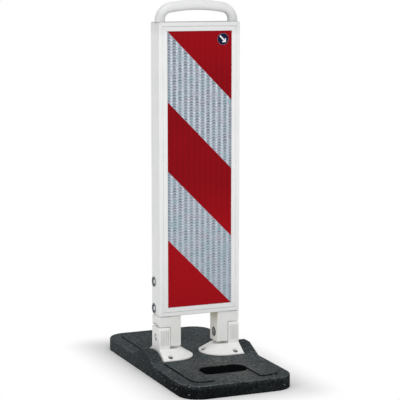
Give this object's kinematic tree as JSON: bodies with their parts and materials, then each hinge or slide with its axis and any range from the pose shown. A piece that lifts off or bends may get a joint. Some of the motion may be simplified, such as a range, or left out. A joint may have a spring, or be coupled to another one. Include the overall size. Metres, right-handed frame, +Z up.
{
  "type": "folding warning beacon",
  "caption": "Striped retroreflective guide board in a white frame with a carrying handle, on friction-hinged legs that fold down over a heavy moulded base with a hand slot.",
  "frame": {"origin": "on the ground under the middle of the base", "axes": "+Z up along the board, +X along the width of the board to the right seen from the front, +Y from the front to the back"},
  "size_m": [0.421, 0.842, 1.3505],
  "materials": {
    "base_rubber": "moulded recycled granulate, matt, with pale specks",
    "moulded_white": "injection moulded, satin",
    "frame_white": "extruded profile, satin to gloss",
    "film_white": "prismatic retroreflective sheeting",
    "film_red": "prismatic retroreflective sheeting",
    "sticker_blue": "plain vinyl disc with a pale rim",
    "board_sheet": "flat sheet",
    "zinc_steel": "bright zinc plated",
    "bush_bronze": "sintered bearing bronze",
    "friction_lining": "dark friction lining",
    "cup_grey": "dark moulded ring",
    "inner_grey": "plain moulded inner piece"
  },
  "bodies": {
    "base": {"base_plate": "base_rubber", "foot_left": "moulded_white", "foot_right": "moulded_white", "foot_screws": "zinc_steel", "foot_washers": "zinc_steel", "base_inserts": "zinc_steel", "pivot_bolts": "zinc_steel", "friction_discs": "friction_lining", "pivot_nut_washers": "zinc_steel", "pivot_springs": "zinc_steel", "pivot_nuts": "zinc_steel"},
    "beacon": {"leg_left": "moulded_white", "leg_right": "moulded_white", "pivot_bushes": "bush_bronze", "post_left": "frame_white", "post_right": "frame_white", "rail_bottom": "frame_white", "rail_top": "frame_white", "corner_keys": "inner_grey", "brace_1": "inner_grey", "brace_2": "inner_grey", "board_front": "board_sheet", "board_back": "board_sheet", "handle": "frame_white", "round_sticker": "sticker_blue", "side_cups": "cup_grey", "side_washers": "zinc_steel", "side_bolts": "zinc_steel", "side_nuts": "zinc_steel", "film_red_front": "film_red", "film_red_back": "film_red", "film_white_front": "film_white", "film_white_back": "film_white", "bead_front_bottom": "frame_white", "bead_front_top": "frame_white", "bead_front_left": "frame_white", "bead_front_right": "frame_white", "bead_back_bottom": "frame_white", "bead_back_top": "frame_white", "bead_back_left": "frame_white", "bead_back_right": "frame_white"}
  },
  "joints": [
    {"name": "beacon_fold", "type": "hinge", "parent": "base", "child": "beacon", "pos_m": [0, 0, 0.126], "axis": [1, 0, 0], "range_deg": [-90, 90]}
  ]
}
